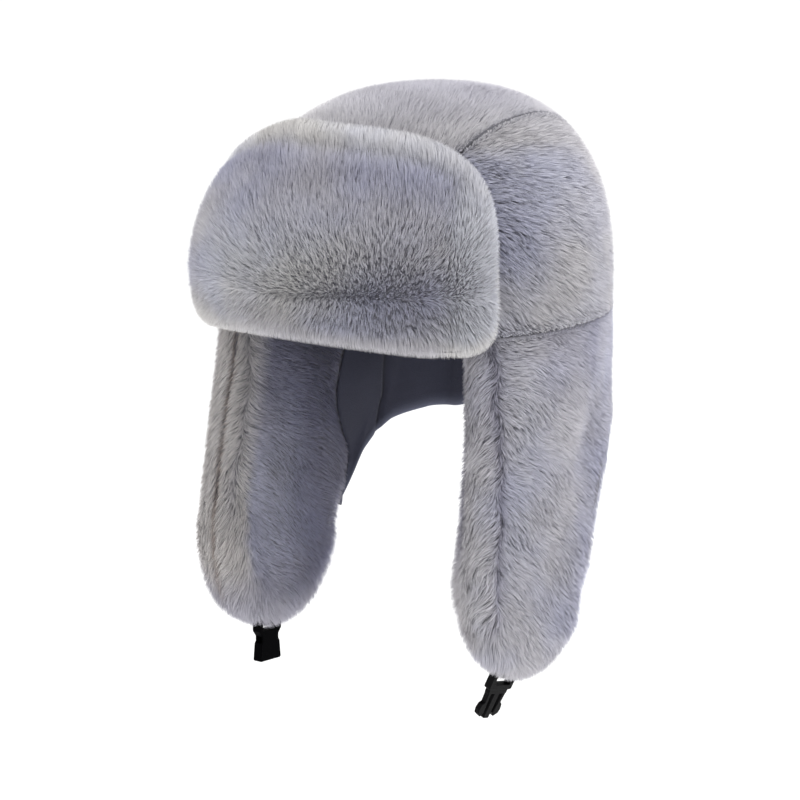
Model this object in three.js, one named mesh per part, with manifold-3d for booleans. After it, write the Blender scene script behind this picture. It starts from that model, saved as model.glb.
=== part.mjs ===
// A winter hat in deep grey fur: a panelled crown, a turned-up front flap and two ear flaps
// joined by a neck band, with a dark plush lining and a small buckle on the flaps' tips.
// Millimetres, +Z up. The hat faces -Y and the wearer's left is +X. The origin is the middle
// of the head opening, level with the seam where the flaps hang from the crown.
import * as THREE from 'three';
import Module from 'manifold-3d';

const wasm = await Module();
wasm.setup();

const gap = 0.3;
const liningWall = 2.6;
// Crown panels stop this share of their width short of the seam between them.
const panelGap = 0.0025;
// So do an ear flap and the neck band where they meet.
const joinGap = 0.003;
// A surface's direction is read at least this share of its width away from an edge.
const edgeShare = 0.02;

// Domes: half width in X, half length in Y, height, how boxy the curve is, and how far
// the middle lies behind the origin at the rim (shift) and more so at the top (lean).
const liningInside = { halfWidth: 79, halfLength: 97, height: 96, boxy: 2.3, shift: 0, lean: 12 };
const liningOutside = grown(liningInside, liningWall);
const crownInside = grown(liningOutside, 1.2);
const crownOutside = { halfWidth: 109.5, halfLength: 116.5, height: 126, boxy: 2.5, shift: 6.5, lean: 17.5 };

// Panel seams of the crown, as a slice through the dome: half width and narrowing to the back.
const panelSeam = { width: 0.49, taper: 0.16 };
const seamDip = 5;

// The pile lies in locks: two grid lines wide, a few long, each rising to its tip.
const lock = { rise: 3.4, length: 3, root: 0.25, least: 0.6 };

// The front flap stands round the brow, its upper edge a little lower towards the right end
// (droop). Each row gives its middle surface at one height.
const frontFlap = { reach: 66.5, top: 112.5, middle: 32, hem: -2, hemDrop: 18.5, topRound: 3.1,
  hemRound: 5.4, droop: 10, droopFrom: 0.2, droopTo: 0.8, outerHalf: 11.6, innerHalf: 8.3, edge: 16 };
const frontFlapRows = [
  { height: -19, halfWidth: 107.5, halfLength: 115 },
  { height: 12, halfWidth: 113.5, halfLength: 122.5 },
  { height: 32, halfWidth: 113, halfLength: 128 },
  { height: 61, halfWidth: 108, halfLength: 121.5 },
  { height: 83, halfWidth: 101, halfLength: 103.5 },
  { height: 110, halfWidth: 90, halfLength: 80 },
];
// Under the front flap the crown is thin cloth with little pile.
const tuck = { depth: 8, top: 112, fade: 14, side: 72, sideFade: 8 };

// Flaps and neck band hang from this line, angles counted from the front in degrees.
const hangLine = { halfWidth: 95.2, halfLength: 109, shift: 3, flapFront: 61, join: 112 };
// Free edge of an ear flap, from its front corner round the tip to the neck band.
const flapEdge = [
  { side: 91, back: -60.5, drop: 136.5 },
  { side: 92, back: -58.5, drop: 154 },
  { side: 94, back: -49, drop: 179 },
  { side: 96, back: -36, drop: 190 },
  { side: 94.5, back: -16, drop: 197 },
  { side: 92.5, back: 0.5, drop: 193 },
  { side: 93, back: 15.5, drop: 179.5 },
  { side: 94, back: 24.5, drop: 154.5 },
  { side: 93, back: 36.5, drop: 134 },
];
// Free edge of the neck band, from the ear flap to the middle of the back.
const neckEdge = [
  { side: 93, back: 36.5, drop: 134 },
  { side: 87.5, back: 53.5, drop: 101.5 },
  { side: 79, back: 70.5, drop: 83 },
  { side: 63.5, back: 92, drop: 76.5 },
  { side: 44, back: 104.5, drop: 75.5 },
  { side: 22, back: 109.5, drop: 71 },
  { side: 0, back: 111, drop: 70.5 },
];
// The line where an ear flap meets the band runs forward and back again on its way down.
const joinLine = [
  { down: 0, back: 0 },
  { down: 0.24, back: -1.5 },
  { down: 0.4, back: -6.5 },
  { down: 0.53, back: -8.5 },
  { down: 0.64, back: -4 },
  { down: 0.76, back: 3 },
  { down: 0.88, back: 2.5 },
  { down: 1, back: 0 },
];
// Half thicknesses of the flaps and the band, the widths over which their edges round off,
// and how far below the hanging line they are at full thickness. The band's outer half thins
// from bandTop to bandOuter between the two heights that bandFade names.
const pad = { flapOuter: 21, flapInner: 18.5, band: 13.2, bandTop: 15, bandOuter: 13.2, edge: 26,
  bandEdge: 14, bandHem: 0.35, outerFull: 22, innerFull: 40, bow: 4, levelAbove: 25 };
const bandFade = { from: 10, to: 64 };
// How far along a flap and along the band the join line's run is felt.
const joinReach = { flap: 0.6, band: 0.4 };

// Buckle for narrow webbing: bar, slot and body of both halves.
const buckle = { barHigh: 2.4, barThick: 2.6, slotWide: 13.4, bevel: 0.4 };
const plug = { wide: 19.8, slotHigh: 5.8, frameHigh: 11.4, frameThick: 4.6, thick: 3.4, long: 30.5,
  neckWide: 16, neckHigh: 6.2, tongueWide: 4.6, corner: 1.6, smallCorner: 0.9 };
// One springy arm of the plug, away from the middle and up from the tips, ending in its pad.
const plugArm = [
  { away: 5, up: 21 },
  { away: 8, up: 21 },
  { away: 7, up: 10.5 },
  { away: 8.8, up: 9.2 },
  { away: 9.6, up: 6 },
  { away: 8.8, up: 3 },
  { away: 5.8, up: 1.2 },
  { away: 3.9, up: 3.5 },
  { away: 4.6, up: 10 },
];
const socket = { slotHigh: 4.2, thick: 6.2, long: 25, pocketWide: 15.2, pocketHigh: 4.6, pocketDeep: 15 };
// Half outline of the socket, away from the middle and down from its upper edge.
const socketEdge = [
  { away: 8.6, down: 0 },
  { away: 9.4, down: 0.9 },
  { away: 9.4, down: 6.6 },
  { away: 6.9, down: 10 },
  { away: 6.9, down: 13 },
  { away: 7.9, down: 14.4 },
  { away: 8.9, down: 24.2 },
  { away: 8.1, down: 25 },
];
const tab = { wide: 7, thick: 1, long: 17, neck: 5, cavity: 2.1, offset: 2.1 };
// Where each buckle half's bar lies, how far the half hangs forward (tilt) and inward (swing).
const clasps = {
  left: { hand: 1, side: 94, back: -25, drop: 193.5, tilt: -10, swing: 22 },
  right: { hand: -1, side: 94, back: -17.5, drop: 196, tilt: 0, swing: 0 },
};
// The notch in a flap's edge that leaves room for the upper end of its buckle half.
const notch = { wide: 20, thick: 6.2, high: 4 };

const materials = {
  fur: new THREE.MeshStandardMaterial({ color: 0xa3a3ac, roughness: 0.95, metalness: 0 }),
  furDark: new THREE.MeshStandardMaterial({ color: 0x8a8a95, roughness: 0.95, metalness: 0 }),
  plush: new THREE.MeshStandardMaterial({ color: 0x2f3140, roughness: 0.9, metalness: 0 }),
  webbing: new THREE.MeshStandardMaterial({ color: 0x161616, roughness: 0.85, metalness: 0 }),
  plastic: new THREE.MeshStandardMaterial({ color: 0x0d0d0e, roughness: 0.4, metalness: 0 }),
};

const radians = THREE.MathUtils.degToRad;
const mix = THREE.MathUtils.lerp;
const smooth = THREE.MathUtils.smoothstep;

function grown(dome, by) {
  return {
    ...dome,
    halfWidth: dome.halfWidth + by,
    halfLength: dome.halfLength + by,
    height: dome.height + by,
  };
}

// A point of a dome in the direction of a unit vector with z >= 0.
function domePoint(dome, way, out = 0) {
  const power = 2 / dome.boxy;
  const flat = Math.hypot(way.x, way.y);
  const rise = Math.max(way.z, 0) ** power;
  const spread = flat > 1e-9 ? flat ** power / flat : 0;
  return new THREE.Vector3(
    (dome.halfWidth + out) * way.x * spread,
    domeMiddle(dome, rise) + (dome.halfLength + out) * way.y * spread,
    (dome.height + out) * rise + gap / 2,
  );
}

function domeMiddle(dome, rise) {
  return dome.shift + dome.lean * Math.max(rise, 0) ** 1.5;
}

// Raises the pile into locks, in rows that are staggered like tiles. Each lock is two grid
// lines wide, rises to its tip, and is a little higher or lower than its neighbours.
function lockRise(across, along) {
  const band = Math.floor(along / lock.length);
  const step = (along % lock.length) / (lock.length - 1);
  const uneven = Math.abs(Math.sin(across * 12.9 + band * 78.2));
  const tip = mix(lock.root, 1, step) * mix(lock.least, 1, uneven);
  return (across + band) % 2 === 1 ? lock.rise * tip : 0;
}

// Falls from 1 to 0 in a quarter circle towards a free edge.
function edgeRound(distance, radius) {
  const inward = 1 - Math.min(Math.max(distance / radius, 0), 1);
  return Math.sqrt(1 - inward * inward);
}

// Collects triangles, merging equal points and dropping faces without area.
class Skin {
  constructor() {
    this.points = [];
    this.faces = [];
    this.known = new Map();
  }

  point(p) {
    const key = [p.x, p.y, p.z].map((value) => Math.round(value * 1e4)).join(' ');
    if (!this.known.has(key)) {
      this.known.set(key, this.points.length);
      this.points.push(p.clone());
    }
    return this.known.get(key);
  }

  face(a, b, c) {
    if (a !== b && b !== c && a !== c) this.faces.push([a, b, c]);
  }

  volume() {
    return this.faces.reduce((sum, [a, b, c]) => {
      const cross = this.points[b].clone().cross(this.points[c]);
      return sum + this.points[a].dot(cross) / 6;
    }, 0);
  }

  geometry() {
    const turn = this.volume() < 0;
    const geometry = new THREE.BufferGeometry();
    const positions = this.points.flatMap((p) => [p.x, p.y, p.z]);
    const index = this.faces.flatMap(([a, b, c]) => (turn ? [a, c, b] : [a, b, c]));
    geometry.setAttribute('position', new THREE.Float32BufferAttribute(positions, 3));
    geometry.setIndex(index);
    return geometry;
  }
}

// Builds a closed pad. outer(i, j) and inner(i, j) give its two faces on a grid; the inner
// face may take every second line only. A pad that runs round in a ring has no side walls.
function padGeometry(columns, rows, outer, inner, { step = 1, ring = false } = {}) {
  const skin = new Skin();
  const grid = (count, high, point, jump) => {
    const lines = [];
    for (let i = 0; i <= count; i += jump) {
      const line = [];
      for (let j = 0; j <= high; j += jump) line.push(skin.point(point(i, j)));
      lines.push(line);
    }
    return lines;
  };
  const faces = (lines, flip) => {
    for (let i = 0; i + 1 < lines.length; i += 1) {
      for (let j = 0; j + 1 < lines[i].length; j += 1) {
        const [a, b, c, d] = [lines[i][j], lines[i + 1][j], lines[i + 1][j + 1], lines[i][j + 1]];
        if (flip) {
          skin.face(a, c, b);
          skin.face(a, d, c);
        } else {
          skin.face(a, b, c);
          skin.face(a, c, d);
        }
      }
    }
  };
  const wall = (fine, coarse, flip) => {
    const put = (a, b, c) => (flip ? skin.face(a, c, b) : skin.face(a, b, c));
    for (let k = 0; k + 1 < coarse.length; k += 1) {
      const run = fine.slice(k * step, (k + 1) * step + 1);
      const half = Math.floor(run.length / 2);
      run.slice(1).forEach((next, n) => put(run[n], coarse[n < half ? k : k + 1], next));
      put(coarse[k], coarse[k + 1], run[half]);
    }
  };
  const front = grid(columns, rows, outer, 1);
  const back = grid(columns, rows, inner, step);
  const last = (list) => list[list.length - 1];
  faces(front, false);
  faces(back, true);
  wall(front.map((line) => line[0]), back.map((line) => line[0]), false);
  wall(front.map(last), back.map(last), true);
  if (!ring) {
    wall(front[0], back[0], true);
    wall(last(front), last(back), false);
  }
  return skin.geometry();
}

// Unit vector on a slice of the dome: across -1..1 from seam to seam, along 0..1 from the
// front rim over the top to the back rim.
function sliceWay(across, along) {
  const lean = panelSeam.taper * across;
  const size = Math.hypot(1, lean);
  const away = (panelSeam.width * across) / size;
  const radius = Math.sqrt(1 - away * away);
  const turn = Math.PI * along;
  const forward = new THREE.Vector3(lean, -1, 0).multiplyScalar((radius * Math.cos(turn)) / size);
  const side = new THREE.Vector3(1, lean, 0).multiplyScalar(away / size);
  return side.add(forward).setZ(radius * Math.sin(turn));
}

// Unit vector on a side panel: along as above, down 0..1 from the seam to the rim.
function sideWay(along, down) {
  const seam = sliceWay(1, along);
  const frontTurn = Math.atan2(sliceWay(1, 0).x, -sliceWay(1, 0).y);
  const backTurn = Math.atan2(sliceWay(1, 1).x, -sliceWay(1, 1).y);
  const turn = mix(frontTurn, backTurn, along);
  const rim = new THREE.Vector3(Math.sin(turn), -Math.cos(turn), 0);
  return seam.lerp(rim, down).normalize();
}

// How far the crown is pressed in at a direction, 0 to 1, where the front flap covers it.
function tuckAt(way) {
  const height = crownOutside.height * Math.max(way.z, 0) ** (2 / crownOutside.boxy);
  const turn = THREE.MathUtils.radToDeg(Math.atan2(Math.abs(way.x), -way.y));
  const low = 1 - smooth(height, tuck.top - tuck.fade, tuck.top);
  return low * (1 - smooth(turn, tuck.side - tuck.sideFade, tuck.side));
}

function crownSkin(way, across, along, onSeam) {
  const pressed = tuckAt(way);
  const pile = onSeam ? -seamDip : lockRise(across, along) - lock.rise / 2;
  return domePoint(crownOutside, way, mix(pile, -tuck.depth, pressed));
}

function crownTop() {
  const columns = 16;
  const rows = 44;
  const side = 1 - panelGap;
  const way = (i, j) => sliceWay(mix(-side, side, i / columns), j / rows);
  const seam = (i, j) => i === 0 || i === columns || j === 0 || j === rows;
  const outer = (i, j) => crownSkin(way(i, j), i, j, seam(i, j));
  const inner = (i, j) => domePoint(crownInside, way(i, j));
  return padGeometry(columns, rows, outer, inner, { step: 2 });
}

function crownSide(hand) {
  const columns = 24;
  const rows = 12;
  const way = (i, j) => sideWay(i / columns, mix(panelGap, 1, j / rows));
  const seam = (i, j) => i === 0 || i === columns || j === 0 || j === rows;
  const outer = (i, j) => handed(crownSkin(way(i, j), j, i, seam(i, j)), hand);
  const inner = (i, j) => handed(domePoint(crownInside, way(i, j)), hand);
  return padGeometry(columns, rows, outer, inner, { step: 2 });
}

// Mirrors a point of the wearer's left side for hand -1.
function handed(point, hand) {
  return point.setX(point.x * hand);
}

function crownLining() {
  const columns = 28;
  const rows = 8;
  const way = (i, j) => {
    const turn = (2 * Math.PI * (i % columns)) / columns;
    const up = (Math.PI / 2) * (j / rows);
    const flat = j === rows ? 0 : Math.cos(up);
    return new THREE.Vector3(Math.sin(turn) * flat, -Math.cos(turn) * flat, Math.sin(up));
  };
  const outer = (i, j) => domePoint(liningOutside, way(i, j));
  const inner = (i, j) => domePoint(liningInside, way(i, j));
  return padGeometry(columns, rows, outer, inner, { ring: true });
}

// Reads a value from rows of a table, smoothly between them.
function tableAt(rows, key, value, column) {
  const last = rows.length - 1;
  let k = rows.findIndex((row) => row[key] > value) - 1;
  if (k === -2) k = last - 1;
  k = Math.min(Math.max(k, 0), last - 1);
  const [a, b] = [rows[k], rows[k + 1]];
  const share = THREE.MathUtils.clamp((value - a[key]) / (b[key] - a[key]), 0, 1);
  const slope = (n) => {
    const [low, high] = [rows[Math.max(n - 1, 0)], rows[Math.min(n + 1, last)]];
    return ((high[column] - low[column]) / (high[key] - low[key])) * (b[key] - a[key]);
  };
  const [s2, s3] = [share * share, share ** 3];
  return a[column] * (2 * s3 - 3 * s2 + 1) + slope(k) * (s3 - 2 * s2 + share)
    + b[column] * (3 * s2 - 2 * s3) + slope(k + 1) * (s3 - s2);
}

function frontFlapLimits(share) {
  const top = (1 - Math.abs(share) ** frontFlap.topRound) ** (1 / frontFlap.topRound);
  const low = (1 - Math.abs(share) ** frontFlap.hemRound) ** (1 / frontFlap.hemRound);
  const hem = frontFlap.hem - frontFlap.hemDrop * share * share;
  const droop = frontFlap.droop * smooth(-share, frontFlap.droopFrom, frontFlap.droopTo);
  const highest = frontFlap.top - droop;
  return {
    top: mix(frontFlap.middle, highest, top),
    hem: mix(frontFlap.middle, hem, low),
  };
}

// Middle surface of the front flap: share -1..1 from end to end, up 0..1 from hem to top.
function frontFlapMiddle(share, up) {
  const limits = frontFlapLimits(share);
  const height = mix(limits.hem, limits.top, up);
  const turn = radians(frontFlap.reach * share);
  const wide = tableAt(frontFlapRows, 'height', height, 'halfWidth');
  const long = tableAt(frontFlapRows, 'height', height, 'halfLength');
  const middle = domeMiddle(crownOutside, height / crownOutside.height);
  return new THREE.Vector3(wide * Math.sin(turn), middle - long * Math.cos(turn), height);
}

function inset(share, low = 0) {
  return THREE.MathUtils.clamp(share, low + edgeShare, 1 - edgeShare);
}

// Outward unit normal of a surface given by two numbers.
function normalOf(surface, a, b) {
  const tiny = 1e-3;
  const alongA = surface(a + tiny, b).sub(surface(a - tiny, b));
  const alongB = surface(a, b + tiny).sub(surface(a, b - tiny));
  const normal = alongA.cross(alongB).normalize();
  const spot = surface(a, b);
  return normal.x * spot.x + normal.y * spot.y < 0 ? normal.negate() : normal;
}

function frontFlapPad() {
  const columns = 40;
  const rows = 14;
  const place = (i, j) => {
    const run = mix(-1, 1, i / columns);
    const share = 0.6 * run + 0.4 * Math.sin((Math.PI / 2) * run);
    const up = j / rows;
    const limits = frontFlapLimits(share);
    const reach = Math.min(up, 1 - up) * (limits.top - limits.hem);
    const fromEnd = (1 - Math.abs(share)) * radians(frontFlap.reach) * frontFlapRows[2].halfWidth;
    const spot = frontFlapMiddle(share, up);
    const normal = normalOf(frontFlapMiddle, inset(share, -1), inset(up));
    return { spot, normal, round: edgeRound(reach, frontFlap.edge) * edgeRound(fromEnd, frontFlap.edge) };
  };
  const outer = (i, j) => {
    const { spot, normal, round } = place(i, j);
    const pile = frontFlap.outerHalf - lock.rise + lockRise(i, j);
    return spot.addScaledVector(normal, pile * round);
  };
  const inner = (i, j) => {
    const { spot, normal, round } = place(i, j);
    return spot.addScaledVector(normal, -frontFlap.innerHalf * round);
  };
  return padGeometry(columns, rows, outer, inner, { step: 2 });
}

// Grid rows of the flaps and the band, alike so that their common edge has the same corners.
const hangRows = 18;
const flapCurve = edgeCurve(flapEdge);
const neckCurve = edgeCurve(neckEdge);

function edgeCurve(rows) {
  const points = rows.map((row) => new THREE.Vector3(row.side, row.back, -row.drop));
  return new THREE.CatmullRomCurve3(points, false, 'centripetal');
}

function hangPoint(angle) {
  const turn = radians(angle);
  const back = hangLine.shift - hangLine.halfLength * Math.cos(turn);
  return new THREE.Vector3(hangLine.halfWidth * Math.sin(turn), back, -gap / 2);
}

// Outward unit normal of a hanging surface, level along its upper edge.
function hangNormal(surface, share, down, spot) {
  const normal = normalOf(surface, share, Math.min(down, 1 - edgeShare));
  normal.z *= smooth(-spot.z, 0, pad.levelAbove);
  return normal.normalize();
}

// Middle surfaces: share 0..1 from the flap's front edge to the neck band, or from there to
// the middle of the back; down 0..1 from the hanging line to the free edge.
function flapMiddle(share, down) {
  const top = hangPoint(mix(hangLine.flapFront, hangLine.join, share));
  const low = flapCurve.getPoint(THREE.MathUtils.clamp(share, 0, 1));
  const bow = pad.bow * Math.sin(Math.PI * Math.min(down, 1)) * (1 - share);
  const run = joinRun(down) * smooth(share, 1 - joinReach.flap, 1);
  return top.lerp(low, down).add(new THREE.Vector3(bow, run, 0));
}

function joinRun(down) {
  return tableAt(joinLine, 'down', down, 'back');
}

function neckMiddle(share, down) {
  const hand = share > 1 ? -1 : 1;
  const part = share > 1 ? 2 - share : share;
  const top = hangPoint(mix(hangLine.join, 180, part));
  const low = neckCurve.getPoint(THREE.MathUtils.clamp(part, 0, 1));
  const run = joinRun(down) * (1 - smooth(part, 0, joinReach.band));
  return handed(top.lerp(low, down).add(new THREE.Vector3(0, run, 0)), hand);
}

function bandThick(spot) {
  return mix(pad.bandTop, pad.bandOuter, smooth(-spot.z, bandFade.from, bandFade.to));
}

function earFlapPlace(share, down) {
  const spot = flapMiddle(share, down);
  const normal = hangNormal(flapMiddle, inset(share), down, spot);
  const front = flapMiddle(0, down);
  const hem = flapMiddle(share, 1);
  const edges = edgeRound(spot.distanceTo(front), pad.edge) * edgeRound(spot.distanceTo(hem), pad.edge);
  const join = spot.distanceTo(flapMiddle(1, down));
  const full = smooth(-spot.z, 0, pad.innerFull) * edgeRound(join, pad.edge / 2);
  const proud = smooth(-spot.z, 0, pad.outerFull) * smooth(join, 0, pad.edge);
  return { spot, normal, edges, full, proud };
}

function earFlap(hand) {
  const columns = 16;
  const rows = hangRows;
  const last = 1 - joinGap;
  const place = (i, j) => earFlapPlace((last * i) / columns, j / rows);
  const outer = (i, j) => {
    const { spot, normal, edges, proud } = place(i, j);
    const thick = mix(bandThick(spot), pad.flapOuter, proud);
    const locks = i === columns ? 0 : lockRise(i, j) - lock.rise;
    const rise = j === 0 ? -seamDip : locks * smooth(-spot.z, 0, pad.outerFull);
    return handed(spot.addScaledVector(normal, (thick + rise) * edges), hand);
  };
  const inner = (i, j) => {
    const { spot, normal, edges, full } = place(i, j);
    const rise = (pad.flapInner - pad.band + lockRise(i, j) - lock.rise) * full;
    return handed(spot.addScaledVector(normal, -(pad.band + rise) * edges), hand);
  };
  return padGeometry(columns, rows, outer, inner);
}

function neckPlace(i, j, columns, rows) {
  const share = mix(joinGap, 2 - joinGap, i / columns);
  const down = j / rows;
  const spot = neckMiddle(share, down);
  let normal = new THREE.Vector3(0, 1, 0);
  if (i === 0 || i === columns) {
    normal = handed(hangNormal(flapMiddle, inset(1), down, spot), i === 0 ? 1 : -1);
  } else if (Math.abs(share - 1) > edgeShare) {
    normal = hangNormal(neckMiddle, share, down, spot);
  }
  const hem = neckMiddle(share, 1);
  return { spot, normal, low: spot.distanceTo(hem) };
}

function neckBand() {
  const columns = 20;
  const rows = hangRows;
  const outer = (i, j) => {
    const { spot, normal, low } = neckPlace(i, j, columns, rows);
    const side = i === 0 || i === columns;
    const pile = j === 0 ? -seamDip : lockRise(i, j) - lock.rise;
    const round = mix(pad.bandHem, 1, edgeRound(low, pad.bandEdge));
    return spot.addScaledVector(normal, (bandThick(spot) + (side && j > 0 ? 0 : pile)) * round);
  };
  const inner = (i, j) => {
    const { spot, normal } = neckPlace(i, j, columns, rows);
    return spot.addScaledVector(normal, -pad.band + liningWall);
  };
  return padGeometry(columns, rows, outer, inner);
}

function neckLining() {
  const columns = 10;
  const rows = hangRows;
  const face = (depth) => (i, j) => {
    const { spot, normal } = neckPlace(i, j, columns, rows);
    return spot.addScaledVector(normal, -depth);
  };
  return padGeometry(columns, rows, face(pad.band - liningWall + gap), face(pad.band + gap));
}

// Turns a closed geometry into a solid for cutting and joining, and back.
function solid(geometry) {
  const skin = new Skin();
  const flat = geometry.index ? geometry.toNonIndexed() : geometry;
  const position = flat.getAttribute('position');
  const spot = new THREE.Vector3();
  const corner = (n) => skin.point(spot.fromBufferAttribute(position, n));
  for (let n = 0; n < position.count; n += 3) skin.face(corner(n), corner(n + 1), corner(n + 2));
  const vertProperties = new Float32Array(skin.points.flatMap((p) => [p.x, p.y, p.z]));
  const triVerts = new Uint32Array(skin.faces.flat());
  return new wasm.Manifold(new wasm.Mesh({ numProp: 3, vertProperties, triVerts }));
}

function geometryOf(body) {
  const mesh = body.getMesh();
  const geometry = new THREE.BufferGeometry();
  const positions = new Float32Array(mesh.numVert * 3);
  for (let n = 0; n < mesh.numVert; n += 1) {
    positions.set(mesh.vertProperties.subarray(n * mesh.numProp, n * mesh.numProp + 3), n * 3);
  }
  geometry.setAttribute('position', new THREE.BufferAttribute(positions, 3));
  geometry.setIndex(new THREE.BufferAttribute(new Uint32Array(mesh.triVerts), 1));
  return geometry;
}

// A plate of even thickness about the plane of its outline, with softened edges.
function plate(shape, thick) {
  const geometry = new THREE.ExtrudeGeometry(shape, {
    depth: thick - 2 * buckle.bevel,
    bevelThickness: buckle.bevel,
    bevelSize: buckle.bevel,
    bevelOffset: -buckle.bevel,
    bevelSegments: 1,
    curveSegments: 3,
  });
  return geometry.translate(0, 0, buckle.bevel - thick / 2);
}

function block(wide, high, thick, x, y) {
  return new THREE.BoxGeometry(wide, high, thick).translate(x, y, 0);
}

function roundedBox(left, right, low, high, radius) {
  const shape = new THREE.Shape();
  shape.moveTo(left + radius, low);
  shape.lineTo(right - radius, low);
  shape.quadraticCurveTo(right, low, right, low + radius);
  shape.lineTo(right, high - radius);
  shape.quadraticCurveTo(right, high, right - radius, high);
  shape.lineTo(left + radius, high);
  shape.quadraticCurveTo(left, high, left, high - radius);
  shape.lineTo(left, low + radius);
  shape.quadraticCurveTo(left, low, left + radius, low);
  return shape;
}

// Opens the webbing slot in a buckle half and thins the bar above it. Both halves are drawn
// with the bar's middle at the origin and their length along -Y.
function openSlot(body, thick, slotHigh) {
  const middle = -(buckle.barHigh + slotHigh) / 2;
  const slot = solid(block(buckle.slotWide, slotHigh, thick + 2, 0, middle));
  const spare = (thick - buckle.barThick) / 2;
  const cut = solid(block(buckle.slotWide, buckle.barHigh + 2, spare + 1, 0, 0));
  const away = (buckle.barThick + spare + 1) / 2;
  return body.subtract(slot).subtract(cut.translate(0, 0, away)).subtract(cut.translate(0, 0, -away));
}

function armShape(hand) {
  const tips = buckle.barHigh / 2 - plug.long;
  return new THREE.Shape(plugArm.map((row) => new THREE.Vector2(hand * row.away, tips + row.up)));
}

function plugHalf() {
  const top = buckle.barHigh / 2;
  const half = plug.wide / 2;
  const neck = plug.neckWide / 2;
  const tongue = plug.tongueWide / 2;
  const frameLow = top - plug.frameHigh;
  const neckLow = frameLow - plug.neckHigh / 2;
  const frame = roundedBox(-half, half, frameLow, top, plug.corner);
  let body = solid(plate(frame, plug.frameThick));
  const thin = [
    roundedBox(-neck, neck, neckLow, neckLow + plug.neckHigh, plug.smallCorner),
    roundedBox(-tongue, tongue, top - plug.long, frameLow, plug.smallCorner),
    armShape(-1),
    armShape(1),
  ];
  for (const shape of thin) body = body.add(solid(plate(shape, plug.thick)));
  return geometryOf(openSlot(body, plug.frameThick, plug.slotHigh));
}

function socketHalf() {
  const top = buckle.barHigh / 2;
  const right = socketEdge.map((row) => new THREE.Vector2(row.away, top - row.down));
  const left = socketEdge.map((row) => new THREE.Vector2(-row.away, top - row.down)).reverse();
  const shell = solid(plate(new THREE.Shape([...right, ...left]), socket.thick));
  const mouth = top - socket.long;
  const pocket = block(socket.pocketWide, socket.pocketDeep * 2, socket.pocketHigh, 0, mouth);
  return geometryOf(openSlot(shell.subtract(solid(pocket)), socket.thick, socket.slotHigh));
}

// A short webbing tab: doubled, with a loop at its lower end that holds the buckle's bar.
function webbingTab() {
  const outer = tab.cavity + tab.thick;
  const shape = new THREE.Shape();
  shape.absarc(0, 0, outer, Math.PI * 0.85, Math.PI * 2.15, false);
  shape.lineTo(tab.thick, tab.neck);
  shape.lineTo(tab.thick, tab.long);
  shape.lineTo(-tab.thick, tab.long);
  shape.lineTo(-tab.thick, tab.neck);
  shape.closePath();
  const hole = new THREE.Path();
  hole.absarc(0, 0, tab.cavity, 0, Math.PI * 2, true);
  shape.holes.push(hole);
  const options = { depth: tab.wide, bevelEnabled: false, curveSegments: 7 };
  return new THREE.ExtrudeGeometry(shape, options).translate(0, 0, -tab.wide / 2);
}

// The pocket in a flap's tip where the tab is sewn in, a little larger than the tab, and the
// notch for the buckle half.
function tabPocket({ hand, side, back, drop, tilt, swing }) {
  const loop = tab.cavity + tab.thick;
  const deep = tab.wide + 2 * gap;
  const room = (half, high) => new THREE.BoxGeometry(2 * (half + gap), deep, 2 * (high + gap));
  const rooms = [room(tab.thick, tab.long), room(loop, tab.neck)];
  rooms.forEach((box) => box.translate(0, tab.offset, 0));
  rooms.push(new THREE.BoxGeometry(notch.thick, notch.wide, notch.high).rotateY(radians(swing)));
  return rooms.map((box) => solid(box.rotateX(radians(tilt)).translate(hand * side, back, -drop)));
}

function earFlapSolid(clasp) {
  const flap = solid(earFlap(clasp.hand));
  return geometryOf(tabPocket(clasp).reduce((body, room) => body.subtract(room), flap));
}

function named(name, geometry, material) {
  const mesh = new THREE.Mesh(geometry, material);
  mesh.name = name;
  return mesh;
}

// One buckle half with its tab, in place.
function claspGroup({ hand, side, back, drop, tilt, swing }) {
  const group = new THREE.Group();
  group.position.set(hand * side, back, -drop);
  group.rotation.x = radians(tilt);
  const webbing = named(hand > 0 ? 'tab_left' : 'tab_right', webbingTab(), materials.webbing);
  webbing.rotation.x = Math.PI / 2;
  webbing.position.y = tab.offset;
  const half = hand > 0
    ? named('buckle_plug', plugHalf(), materials.plastic)
    : named('buckle_socket', socketHalf(), materials.plastic);
  half.quaternion.setFromRotationMatrix(new THREE.Matrix4().makeBasis(
    new THREE.Vector3(0, 1, 0),
    new THREE.Vector3(0, 0, 1),
    new THREE.Vector3(1, 0, 0),
  ));
  const hanging = new THREE.Group();
  hanging.rotation.y = radians(swing);
  hanging.add(half);
  group.add(webbing, hanging);
  return group;
}

const hat = new THREE.Group();
hat.add(named('crown_top', crownTop(), materials.fur));
hat.add(named('crown_side_left', crownSide(1), materials.fur));
hat.add(named('crown_side_right', crownSide(-1), materials.fur));
hat.add(named('crown_lining', crownLining(), materials.plush));
hat.add(named('front_flap', frontFlapPad(), materials.fur));
hat.add(named('ear_flap_left', earFlapSolid(clasps.left), materials.furDark));
hat.add(named('ear_flap_right', earFlapSolid(clasps.right), materials.furDark));
hat.add(named('neck_band', neckBand(), materials.fur));
hat.add(named('neck_lining', neckLining(), materials.plush));
hat.add(claspGroup(clasps.left));
hat.add(claspGroup(clasps.right));

export default hat;
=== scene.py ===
from math import cos, pi, radians, sin

import bpy
import numpy as np
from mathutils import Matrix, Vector, kdtree


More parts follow.
